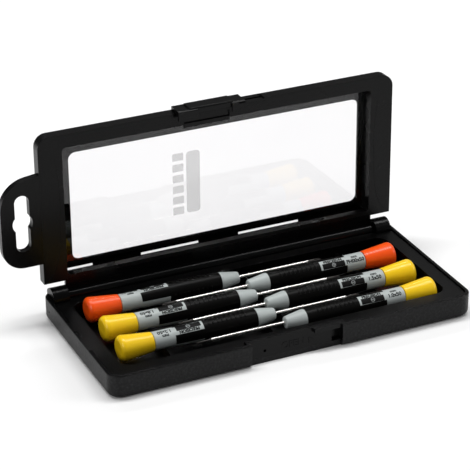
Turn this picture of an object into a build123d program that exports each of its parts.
from build123d import *
from math import cos, radians, sin, tan
import os

os.makedirs("parts", exist_ok=True)

# Precision screwdriver set. Millimetres. +X runs along the case, +Y towards the hinge, +Z up.
# The origin is at the middle of the base's underside. The lid stands open on its stop.

# Case
case_length = 207.0
case_depth = 98.5
base_height = 13.0
lid_thickness = 9.0
corner_radius = 7.0
base_edge_radius = 3.0
lid_edge_radius = 3.4
wall = 2.0
floor = 1.5
rim_bevel = 0.4
seam_gap = 0.15

# Hinge
hinge_inset = 6.7
hinge_drop = 1.1
hinge_to_lid = 8.4
barrel_radius = 3.2
ear_radius = 6.0
ear_inner_x = 92.0
ear_outer_inset = 2.6
ear_gap = 0.4
pin_radius = 1.25
pin_length = 11.0
pin_grip = 7.0
running_clearance = 0.05
open_angle = 91.0
stop_gap = 0.15
stop_width = 12.0
stop_spacing = 90.0
stop_rise = 2.5

# Cradle
cradle_thickness = 1.2
cradle_clearance = 0.3
ledge_drop = 1.0
well_length = 186.6
well_radius = 6.0
well_margin = 0.35
rib_thickness = 1.6
rib_drop = 3.0
saddle_clearance = 0.3

# Lid frame, liner and window
back_wall = 1.4
liner_thickness = 1.6
liner_edge = 0.6
liner_fit = 0.05
leg_thickness = 1.6
back_leg_depth = 3.4
opening_length = 180.4
land_front = 7.5
land_back = 2.9
opening_radius = 2.0
leg_draft = 6.0
face_thickness = 0.9
pane_thickness = 0.8
window_left = -84.2
window_right = 86.2
window_back = 15.4
window_front = 77.2
window_radius = 4.0
slot_width = 1.4
slot_spans = ((-88.0, -73.0), (-45.0, -11.0), (13.0, 50.0))

# Hang tab with its euro slot
tab_reach = 21.8
tab_bottom = 20.6
tab_top = 71.4
tab_slope = 2.9
tab_thickness = 4.0
tab_top_radius = 17.0
tab_bottom_radius = 12.0
euro_length = 32.0
euro_width = 8.0
euro_hole = 11.0
euro_inset = 10.0

# Slide latch
latch_length = 38.6
latch_travel = 12.6
latch_left = -26.2
latch_proud = 2.0
latch_play = 0.15
latch_end_gap = 0.3
lid_recess_depth = 0.8
base_recess_top = 4.0
base_recess_bottom = 2.5
hook_drop = 4.0
hook_thickness = 1.2
hook_lead = 0.5
hook_gap = 0.35
tongue_depth = 2.4
key_neck = 1.6
key_head = 3.4
key_neck_depth = 1.25
key_head_depth = 1.3
key_inset = 2.0
key_behind_rim = 3.6
latch_behind_key = 0.6
latch_edge_radius = 1.5
latch_hollow_start = 11.3
latch_hollow_length = 19.7
latch_hollow_depth = 1.0
grip_proud = 0.8
grip_length = 25.0

# Screwdrivers
row_pitch = 11.1
rows_centre_y = -3.4
axis_drop = 2.1
cap_end_left = -88.0
cap_end_right = 88.6
cap_length = 18.4
cap_end_radius = 7.2
cap_neck_radius = 5.1
cap_edge_radius = 2.4
cap_gap = 0.3
collar_radius = 4.9
collar_length = 11.4
tongue_length = 16.0
tongue_gap_angle = 0.6
shaft_radius = 3.6
sleeve_length = 46.6
sleeve_end_radius = 5.0
sleeve_bulge = 0.45
nose_length = 11.3
nose_tip_radius = 3.3
nose_edge = 0.8
nose_band = 1.2
blade_radius = 0.95
blade_length = 50.0
blade_grip = 18.0
tip_length = 8.0
axle_radius = 1.5
axle_head_radius = 2.4
axle_head_length = 1.6
axle_grip = 7.0
axle_start = 5.8

# name, end of the case that its cap lies at, row counted from the hinge, turn of its label, tip
drivers = (
    ("phillips_large", "left", 0, 98, "phillips", 1.9),
    ("phillips_small", "right", 1, 52, "phillips", 1.7),
    ("slotted_18", "left", 2, 68, "slotted", 1.8),
    ("slotted_15", "right", 3, 52, "slotted", 1.5),
    ("slotted_12", "left", 4, 66, "slotted", 1.2),
    ("slotted_10", "right", 5, 58, "slotted", 1.0),
)

# Places worked out from the sizes above
half_length = case_length / 2
front_y = -case_depth / 2
back_y = case_depth / 2
hinge_y = back_y - hinge_inset
hinge_z = base_height - hinge_drop
ledge_z = base_height - ledge_drop
axis_z = base_height - axis_drop
lid_reach = hinge_y - front_y
rim_w = hinge_drop + seam_gap
face_w = rim_w + lid_thickness
pane_w = face_w - face_thickness - pane_thickness
ear_outer_x = half_length - ear_outer_inset
barrel_half = ear_inner_x - ear_gap
rows_half = 2.5 * row_pitch
well_depth = 2 * (rows_half + cap_end_radius + well_margin)
recess_left = latch_left - latch_end_gap
recess_length = latch_length + latch_travel + 2 * latch_end_gap
recess_right = recess_left + recess_length
plate_top_y = front_y + base_recess_top
plate_bottom_y = front_y + base_recess_bottom
cradle_back = hinge_y - barrel_radius - ear_gap
opening_back = hinge_to_lid + land_back
opening_front = lid_reach - land_front
collar_start = cap_length + cap_gap
sleeve_start = collar_start + collar_length
nose_start = sleeve_start + sleeve_length
nose_end = nose_start + nose_length
tip_end = nose_end + blade_length
lid_plane = Plane(origin=(0, hinge_y, hinge_z)).rotated((-open_angle, 0, 0))


def lid_at(height):
    """A plane along the lid, at this height from the hinge axis towards the lid's outer face."""
    return lid_plane.offset(height)


def lid_side(x):
    """A plane across the lid at x: its own x runs towards the hinge and its y to the outer face."""
    origin = lid_plane.from_local_coords(Vector(x, 0, 0))
    return Plane(origin=origin, x_dir=lid_plane.y_dir, z_dir=lid_plane.x_dir)


def span(x_low, x_high, y_low, y_high, z_low, z_high, mode=Mode.ADD):
    """A box between two corners."""
    with Locations(((x_low + x_high) / 2, (y_low + y_high) / 2, (z_low + z_high) / 2)):
        Box(x_high - x_low, y_high - y_low, z_high - z_low, mode=mode)


def patch(x_low, x_high, y_low, y_high, radius=0.0, mode=Mode.ADD):
    """A rectangle in a sketch between two corners."""
    with Locations(((x_low + x_high) / 2, (y_low + y_high) / 2)):
        if radius > 0:
            RectangleRounded(x_high - x_low, y_high - y_low, radius, mode=mode)
        else:
            Rectangle(x_high - x_low, y_high - y_low, mode=mode)


def finish(builder, name):
    """Labels a piece and writes its file."""
    builder.part.label = name
    export_step(builder.part, f"parts/{name}.step")


# ---- Base shell: open tray with hinge ears, opening stops and the latch recess ----
with BuildPart() as base_shell:
    with BuildSketch(Plane.XY):
        RectangleRounded(case_length, case_depth, corner_radius)
    extrude(amount=base_height)
    fillet(base_shell.faces().sort_by(Axis.Z)[0].edges(), radius=base_edge_radius)
    chamfer(base_shell.faces().sort_by(Axis.Z)[-1].edges(), length=rim_bevel)
    with BuildSketch(Plane.XY.offset(floor)):
        RectangleRounded(case_length - 2 * wall, case_depth - 2 * wall, corner_radius - wall)
    extrude(amount=base_height, mode=Mode.SUBTRACT)

    # Thicker wall behind the latch recess, then the recess with its leaning back
    span(recess_left - wall, recess_right + wall, front_y + wall / 2, plate_top_y + wall, floor / 2, base_height)
    with BuildSketch(Plane.YZ.offset(recess_left)):
        with BuildLine():
            Polyline(
                (front_y - wall, -wall),
                (plate_bottom_y, -wall),
                (plate_bottom_y, 0),
                (plate_top_y, base_height),
                (plate_top_y, base_height + wall),
                (front_y - wall, base_height + wall),
                close=True,
            )
        make_face()
    extrude(amount=recess_length, mode=Mode.SUBTRACT)

    # Catch tongue that the latch's hook slides under, and the pocket below its far end
    tongue_left = latch_left + latch_length - 2.6
    hook_top = base_height + seam_gap - hook_drop + hook_thickness
    tongue_front = plate_top_y - tongue_depth
    span(tongue_left, recess_right + wall / 2, tongue_front, plate_top_y + wall / 2, hook_top + hook_gap, base_height)
    span(recess_right - 5.0, recess_right, plate_top_y - wall, plate_top_y + 1.2, 3.0, hook_top, Mode.SUBTRACT)
    with Locations(Plane(origin=(recess_left + 8.5, plate_top_y - 0.75, base_height / 2), z_dir=(0, -1, 0))):
        Hole(radius=0.8, depth=0.9)

    # Hinge ears, each a drum about the pin on a pedestal that joins it to the side wall
    for ear_start in (-ear_outer_x, ear_inner_x):
        with BuildSketch(Plane.YZ.offset(ear_start)):
            with Locations((hinge_y, hinge_z)):
                Circle(ear_radius)
            patch(hinge_y - ear_radius, hinge_y + ear_radius, floor / 2, hinge_z)
        extrude(amount=ear_outer_x - ear_inner_x)
    for side in (-1, 1):
        web_ends = sorted((side * (ear_outer_x - wall), side * (half_length - wall / 2)))
        span(*web_ends, hinge_y - ear_radius, hinge_y + ear_radius / 2, floor / 2, base_height - rim_bevel)

    # Partition that carries the cradle's back edge, and the two stops that hold the open lid
    span(-half_length + wall / 2, half_length - wall / 2, cradle_back - 1.4, cradle_back - 0.2, floor / 2, ledge_z - cradle_thickness)
    for stop_x in (-stop_spacing / 2, stop_spacing / 2):
        stop_front = hinge_y + barrel_radius + stop_gap
        span(stop_x - stop_width / 2, stop_x + stop_width / 2, stop_front, back_y - rim_bevel, wall, base_height + stop_rise)
    with BuildSketch(Plane.XY):
        RectangleRounded(case_length, case_depth, corner_radius)
    extrude(amount=2 * base_height, mode=Mode.INTERSECT)

    # Blind bores for the pins, and a small moulding dimple on each side wall
    for side in (-1, 1):
        with Locations(Plane(origin=(side * ear_inner_x, hinge_y, hinge_z), z_dir=(-side, 0, 0))):
            Hole(radius=pin_radius, depth=pin_grip)
        with Locations(Plane(origin=(side * half_length, hinge_y - 4.0, base_height / 2), z_dir=(side, 0, 0))):
            Hole(radius=0.6, depth=0.5)
finish(base_shell, "base_shell")

# ---- Hinge pins ----
pins = (("hinge_pin_left", -1), ("hinge_pin_right", 1))
for pin_name, side in pins:
    pin_start = side * (ear_inner_x + pin_grip)
    with BuildPart() as hinge_pin:
        with BuildSketch(Plane(origin=(pin_start, hinge_y, hinge_z), z_dir=(-side, 0, 0))):
            Circle(pin_radius)
        extrude(amount=pin_length)
        chamfer(hinge_pin.edges().sort_by(Axis.X), length=0.2)
    finish(hinge_pin, pin_name)

# ---- Cradle: ledge, well and the notched ribs that the screwdrivers lie in ----
well_half_x = well_length / 2
well_low_y = rows_centre_y - well_depth / 2
well_high_y = rows_centre_y + well_depth / 2
saddles = (
    (cap_end_left + collar_start + 6.0, 0, collar_radius),
    (cap_end_left + nose_start + 5.8, 0, (collar_radius + nose_tip_radius) / 2 + 0.25),
    (cap_end_right - nose_start - 5.8, 1, (collar_radius + nose_tip_radius) / 2 + 0.25),
    (cap_end_right - collar_start - 6.0, 1, collar_radius),
)
with BuildPart() as driver_cradle:
    ledge_half_x = half_length - wall - cradle_clearance
    ledge_front = front_y + wall + cradle_clearance
    with BuildSketch(Plane.XY.offset(ledge_z - cradle_thickness)):
        patch(-ledge_half_x, ledge_half_x, ledge_front, cradle_back)
        fillet(vertices().group_by(Axis.Y)[0], radius=corner_radius - wall)
        patch(
            recess_left - wall - cradle_clearance,
            recess_right + wall + cradle_clearance,
            ledge_front - 1.0,
            plate_top_y + wall + cradle_clearance,
            mode=Mode.SUBTRACT,
        )
        for side in (-1, 1):
            corner = sorted((side * (ear_inner_x - cradle_clearance), side * (ledge_half_x + 1.0)))
            patch(*corner, hinge_y - ear_radius - cradle_clearance, cradle_back + 1.0, mode=Mode.SUBTRACT)
    extrude(amount=cradle_thickness)
    with BuildSketch(Plane.XY.offset(floor)):
        patch(
            -well_half_x - cradle_thickness,
            well_half_x + cradle_thickness,
            well_low_y - cradle_thickness,
            well_high_y + cradle_thickness,
            well_radius + cradle_thickness,
        )
    extrude(amount=ledge_z - floor)
    with BuildSketch(Plane.XY.offset(floor + cradle_thickness)):
        patch(-well_half_x, well_half_x, well_low_y, well_high_y, well_radius)
    extrude(amount=base_height, mode=Mode.SUBTRACT)
    for rib_x, first_row, held_radius in saddles:
        rib_low, rib_high = rib_x - rib_thickness / 2, rib_x + rib_thickness / 2
        span(rib_low, rib_high, well_low_y - 0.1, well_high_y + 0.1, floor + 0.1, axis_z - rib_drop)
        with BuildSketch(Plane.YZ.offset(rib_low - 0.1)):
            for row in range(first_row, 6, 2):
                with Locations((rows_centre_y + rows_half - row * row_pitch, axis_z)):
                    Circle(held_radius + saddle_clearance)
        extrude(amount=rib_thickness + 0.2, mode=Mode.SUBTRACT)
finish(driver_cradle, "driver_cradle")

def liner_outline(edge, keep):
    """The land's outline, this far inside the lid's, cut clear of the latch track by this much."""
    patch(-half_length + edge, half_length - edge, -lid_reach + edge, -hinge_to_lid - edge)
    fillet(vertices().group_by(Axis.Y)[0], radius=corner_radius - edge)
    patch(recess_left - keep, recess_right + keep, -lid_reach, -lid_reach + keep, mode=Mode.SUBTRACT)


# ---- Lid frame: outer shell with the hinge barrel, hang tab and latch track ----
outward = Axis((0, 0, 0), lid_plane.z_dir)
boss_back = opening_front + leg_thickness + 0.3
key_w = rim_w + key_behind_rim
recess_v = lid_reach - lid_recess_depth
with BuildPart() as lid_frame:
    with BuildSketch(lid_at(rim_w)):
        patch(-half_length, half_length, -lid_reach, -hinge_to_lid)
        fillet(vertices().group_by(Axis.Y)[0], radius=corner_radius)
    extrude(amount=lid_thickness)
    fillet(lid_frame.faces().sort_by(outward)[-1].edges(), radius=lid_edge_radius)
    with BuildSketch(lid_at(rim_w)):
        patch(-half_length + wall, half_length - wall, -lid_reach + wall, -hinge_to_lid - back_wall)
        fillet(vertices().group_by(Axis.Y)[0], radius=corner_radius - wall)
    extrude(amount=lid_thickness - face_thickness, mode=Mode.SUBTRACT)

    # Latch track: a thick block behind the front wall, a shallow recess and a T slot
    with BuildSketch(lid_at(rim_w + liner_thickness)):
        patch(recess_left - wall, recess_right + wall, -lid_reach + wall / 2, -boss_back)
    extrude(amount=lid_thickness - liner_thickness - face_thickness / 2)
    with BuildSketch(lid_at(rim_w - 1.0)):
        patch(recess_left, recess_right, -lid_reach - 1.0, -recess_v)
    extrude(amount=lid_thickness + 2.0, mode=Mode.SUBTRACT)
    with BuildSketch(lid_side(recess_left + 0.5)):
        neck_half = key_neck / 2 + latch_play
        head_half = key_head / 2 + latch_play
        neck_v = recess_v - key_neck_depth
        patch(-recess_v - 1.0, -neck_v + 0.1, key_w - neck_half, key_w + neck_half)
        patch(-neck_v, -neck_v + key_head_depth + 2 * latch_play, key_w - head_half, key_w + head_half)
    extrude(amount=recess_length - 1.0, mode=Mode.SUBTRACT)

    # Seat for the liner, then the window opening and the slots at its foot
    with BuildSketch(lid_at(rim_w)):
        liner_outline(liner_edge, wall)
    extrude(amount=liner_thickness, mode=Mode.SUBTRACT)
    with BuildSketch(lid_at(face_w - face_thickness - 0.5)):
        patch(window_left, window_right, -window_front, -window_back, window_radius)
        slot_back = hinge_to_lid + back_wall
        for slot_low, slot_high in slot_spans:
            patch(slot_low, slot_high, -slot_back - slot_width, -slot_back)
    extrude(amount=face_thickness + 1.0, mode=Mode.SUBTRACT)

    # Hinge strip and barrel, bored at both ends for the pins
    with BuildSketch(lid_side(-barrel_half)):
        Circle(barrel_radius)
        patch(-hinge_to_lid - wall / 4, 0, rim_w, barrel_radius)
    extrude(amount=2 * barrel_half)
    bore_depth = pin_length - pin_grip + ear_gap
    for side in (-1, 1):
        with Locations(Plane(origin=(side * barrel_half, hinge_y, hinge_z), z_dir=(side, 0, 0))):
            Hole(radius=pin_radius + running_clearance, depth=bore_depth)

    # Hang tab
    with BuildSketch(lid_at(rim_w)):
        root_x = -half_length + wall / 4
        with BuildLine():
            Polyline(
                (root_x, -tab_bottom),
                (-half_length - tab_reach, -tab_bottom),
                (-half_length - tab_reach, -tab_top + tab_slope),
                (root_x, -tab_top),
                close=True,
            )
        make_face()
        outer = vertices().group_by(Axis.X)[0].sort_by(Axis.Y)
        fillet(outer[0], radius=tab_top_radius)
        fillet(vertices().group_by(Axis.X)[0].sort_by(Axis.Y)[-1], radius=tab_bottom_radius)
        euro_v = (tab_bottom + tab_top) / 2
        with Locations((-half_length - euro_inset, -euro_v)):
            SlotOverall(euro_length, euro_width, rotation=90, mode=Mode.SUBTRACT)
            Circle(euro_hole / 2, mode=Mode.SUBTRACT)
    extrude(amount=tab_thickness)
finish(lid_frame, "lid_frame")

# ---- Lid liner: the flat land around the window and the legs that reach to the lid's face ----
with BuildPart() as lid_liner:
    with BuildSketch(lid_at(rim_w)):
        liner_outline(liner_edge + liner_fit, wall + liner_fit)
    extrude(amount=liner_thickness)
    leg_depth = pane_w - liner_fit - rim_w
    with BuildSketch(lid_at(rim_w)):
        leg_half = opening_length / 2 + leg_thickness
        leg_front = opening_front + leg_thickness
        patch(-leg_half, leg_half, -leg_front, -opening_back)
    extrude(amount=leg_depth)
    with BuildSketch(lid_at(rim_w)):
        patch(-leg_half, leg_half, -opening_back - 0.1, -hinge_to_lid - back_wall - liner_fit)
    extrude(amount=back_leg_depth)
    with BuildSketch(lid_at(rim_w)):
        patch(-opening_length / 2, opening_length / 2, -opening_front, -opening_back, opening_radius)
    extrude(amount=leg_depth + 0.1, taper=leg_draft, mode=Mode.SUBTRACT)
    with BuildSketch(lid_at(rim_w + back_leg_depth)):
        leg_inner = opening_length / 2 - back_leg_depth * tan(radians(leg_draft))
        patch(-leg_inner + 1.0, leg_inner - 1.0, -opening_back - opening_radius, -hinge_to_lid)
    extrude(amount=lid_thickness, mode=Mode.SUBTRACT)

    # Finger hollow in the land behind the latch, and the small sill below it
    with BuildSketch(lid_at(rim_w)):
        patch(latch_left + 4.5, latch_left + 31.0, -leg_front - 0.2, -opening_front + 1.5)
    extrude(amount=liner_thickness)
    with BuildSketch(lid_at(rim_w - 0.1)):
        patch(latch_left + 4.5, latch_left + 31.0, -lid_reach + wall + 1.0, -opening_front - 0.7)
    extrude(amount=1.1, mode=Mode.SUBTRACT)
finish(lid_liner, "lid_liner")

# ---- Window pane: a flat sheet held between the lid's face and the liner's legs ----
with BuildPart() as window_pane:
    with BuildSketch(lid_at(pane_w)):
        patch(-leg_half, leg_half, -leg_front, -hinge_to_lid - back_wall - liner_fit, opening_radius)
    extrude(amount=pane_thickness)
finish(window_pane, "window_pane")

# ---- Slide latch: a web across the lid's front, a T key in its track, a hook and a raised grip ----
web_inner = recess_v + latch_play
web_outer = lid_reach + latch_proud
web_back = key_w + key_head / 2 + latch_behind_key
hook_w = rim_w - hook_drop
hook_z = hinge_z + hook_w
hook_v = lid_reach - base_recess_bottom - (base_recess_top - base_recess_bottom) * hook_z / base_height + hook_gap
with BuildPart() as slide_latch:
    with BuildSketch(lid_side(latch_left)):
        patch(-web_outer, -web_inner, hook_w, web_back)
    extrude(amount=latch_length)
    fillet(slide_latch.edges().filter_by(Axis.X).group_by(Axis.Z)[-1], radius=latch_edge_radius)
    with BuildSketch(lid_side(latch_left)):
        patch(-web_outer + hook_lead, -hook_v, hook_w, hook_w + hook_thickness)
    extrude(amount=latch_length - 3.8)
    with BuildSketch(lid_side(latch_left + key_inset)):
        patch(-web_inner - 0.1, -neck_v + latch_play + 0.1, key_w - key_neck / 2, key_w + key_neck / 2)
        patch(-neck_v + latch_play, -neck_v + latch_play + key_head_depth, key_w - key_head / 2, key_w + key_head / 2)
    extrude(amount=latch_length - 2 * key_inset)
    grip_left = latch_left + (latch_length - grip_length) / 2
    with BuildSketch(lid_side(grip_left)):
        patch(-web_outer - grip_proud, -web_outer + 0.1, hook_w + 1.0, web_back - 0.6, 0.4)
    extrude(amount=grip_length)
    with BuildSketch(lid_side(latch_left + latch_hollow_start)):
        patch(-web_outer + 0.8, -hook_v + 1.0, hook_w - 1.0, hook_w + hook_thickness + 0.1)
        patch(-web_outer - 1.0, -hook_v + 1.0, hook_w - 1.0, hook_w + latch_hollow_depth)
    extrude(amount=latch_hollow_length, mode=Mode.SUBTRACT)
finish(slide_latch, "slide_latch")


# ---- Screwdrivers ----
# Stations are measured along a screwdriver from its cap's end.
def driver_plane(end, row):
    """A screwdriver's lengthwise plane: its x runs from the cap to the tip and its y is up."""
    heading = 1 if end == "left" else -1
    x = cap_end_left if end == "left" else cap_end_right
    y = rows_centre_y + rows_half - row * row_pitch
    return Plane(origin=(x, y, axis_z), x_dir=(heading, 0, 0), z_dir=(0, -heading, 0))


def across(lie, station):
    """The plane across a screwdriver at a station: its z runs from the cap to the tip."""
    origin = lie.from_local_coords(Vector(station, 0, 0))
    return Plane(origin=origin, x_dir=(0, 0, 1), z_dir=lie.x_dir)


def turned(lie, points, mode=Mode.ADD):
    """A solid of revolution about a screwdriver's axis from its half outline."""
    with BuildSketch(lie) as outline:
        with BuildLine():
            Polyline(*points, close=True)
        make_face()
    revolve(outline.sketch, axis=Axis(lie.origin, lie.x_dir), mode=mode)


def grip(lie, inner):
    """The slightly swollen grip between the collar and the nose, hollow inside this radius."""
    middle = (sleeve_start + nose_start) / 2
    with BuildSketch(lie) as outline:
        with BuildLine():
            Polyline(
                (sleeve_start, sleeve_end_radius),
                (sleeve_start, inner),
                (nose_start, inner),
                (nose_start, sleeve_end_radius),
            )
            ThreePointArc(
                (nose_start, sleeve_end_radius),
                (middle, sleeve_end_radius + sleeve_bulge),
                (sleeve_start, sleeve_end_radius),
            )
        make_face()
    revolve(outline.sketch, axis=Axis(lie.origin, lie.x_dir))


def wedges(lie, turn, width):
    """Three equal sectors outside the core's shaft; the turn counts from the case's front upwards."""
    reach = 2 * collar_radius
    half = reach * tan(radians(width / 2))
    with PolarLocations(0, 3, start_angle=lie.x_dir.X * (90 - turn)):
        Polygon((0, 0), (reach, -half), (reach, half), align=None)
    Circle(shaft_radius, mode=Mode.SUBTRACT)


def make_cap(name, lie):
    """The free-turning cap, with the chamber that keeps the axle's head."""
    with BuildPart() as cap:
        turned(lie, ((0, 0), (0, cap_end_radius), (cap_length, cap_neck_radius), (cap_length, 0)))
        fillet(cap.edges().filter_by(GeomType.CIRCLE).sort_by(SortBy.RADIUS)[0], radius=0.3)
        fillet(cap.edges().filter_by(GeomType.CIRCLE).sort_by(SortBy.RADIUS)[-1], radius=cap_edge_radius)
        with BuildSketch(across(lie, axle_start - cap_gap)):
            Circle(axle_head_radius + cap_gap)
        extrude(amount=axle_head_length + 2 * cap_gap, mode=Mode.SUBTRACT)
        with BuildSketch(across(lie, axle_start)):
            Circle(axle_radius + running_clearance)
        extrude(amount=cap_length, mode=Mode.SUBTRACT)
    finish(cap, name + "_cap")


def make_axle(name, lie):
    """The headed axle that joins the cap to the handle."""
    with BuildPart() as axle:
        with BuildSketch(across(lie, axle_start)):
            Circle(axle_head_radius)
        extrude(amount=axle_head_length)
        with BuildSketch(across(lie, axle_start)):
            Circle(axle_radius)
        extrude(amount=collar_start + axle_grip - axle_start)
    finish(axle, name + "_axle")


def make_core(name, lie, roll):
    """The handle's hard core: collar, three tongues, shaft and nose, bored for axle and blade."""
    with BuildPart() as core:
        grip(lie, 0)
        with BuildSketch(across(lie, sleeve_start)):
            wedges(lie, roll + 60, 60 + tongue_gap_angle)
        extrude(amount=tongue_length, mode=Mode.SUBTRACT)
        with BuildSketch(across(lie, sleeve_start + tongue_length)):
            Circle(2 * collar_radius)
            Circle(shaft_radius, mode=Mode.SUBTRACT)
        extrude(amount=sleeve_length, mode=Mode.SUBTRACT)
        turned(
            lie,
            (
                (collar_start, 0),
                (collar_start, collar_radius - 0.3),
                (collar_start + 0.3, collar_radius),
                (sleeve_start, collar_radius),
                (sleeve_start, 0),
            ),
        )
        turned(
            lie,
            (
                (nose_start, 0),
                (nose_start, collar_radius),
                (nose_start + nose_band, collar_radius),
                (nose_end - nose_edge, nose_tip_radius),
                (nose_end - 0.3 * nose_edge, nose_tip_radius - 0.3 * nose_edge),
                (nose_end, nose_tip_radius - nose_edge),
                (nose_end, 0),
            ),
        )
        with BuildSketch(across(lie, collar_start)):
            Circle(axle_radius)
        extrude(amount=axle_grip, mode=Mode.SUBTRACT)
        with BuildSketch(across(lie, nose_end - blade_grip)):
            Circle(blade_radius)
        extrude(amount=blade_grip, mode=Mode.SUBTRACT)
    finish(core, name + "_core")


def make_sleeve(name, lie, roll):
    """The soft sleeve, with three tongues of its own between the core's."""
    with BuildPart() as sleeve:
        grip(lie, shaft_radius)
        with BuildSketch(across(lie, sleeve_start)):
            wedges(lie, roll, 60)
        extrude(amount=tongue_length, mode=Mode.SUBTRACT)
    finish(sleeve, name + "_sleeve")


def make_blade(name, lie, tip, width):
    """The round blade and its worked tip."""
    tip_start = tip_end - tip_length
    shoulder = tip_start + 1.5
    flank = tip_end - 2.2 * width
    end_shape = ((tip_end, width / 2),)
    if tip == "phillips":
        end_shape = ((tip_end - width / 2, width / 2), (tip_end, width / 5))
    with BuildPart() as blade:
        turned(
            lie,
            (
                (nose_end - blade_grip, 0),
                (nose_end - blade_grip, blade_radius),
                (tip_start, blade_radius),
                (shoulder, width / 2),
                *end_shape,
                (tip_end, 0),
            ),
        )
        if tip == "phillips":
            with BuildSketch(across(lie, flank)):
                with PolarLocations(width / 2, 4, start_angle=45):
                    Circle(width / 4.5)
            extrude(amount=tip_length, mode=Mode.SUBTRACT)
        else:
            with BuildSketch(lie):
                for face in (-1, 1):
                    Polygon(
                        (flank, face * width / 2),
                        (flank, face * width),
                        (tip_end + 1.0, face * width),
                        (tip_end + 1.0, face * width / 9),
                        (tip_end, face * width / 9),
                        align=None,
                    )
            extrude(amount=width, both=True, mode=Mode.SUBTRACT)
    finish(blade, name + "_blade")


for driver_name, end, row, roll, tip, tip_width in drivers:
    lie = driver_plane(end, row)
    make_cap(driver_name, lie)
    make_axle(driver_name, lie)
    make_core(driver_name, lie, roll)
    make_sleeve(driver_name, lie, roll)
    make_blade(driver_name, lie, tip, tip_width)
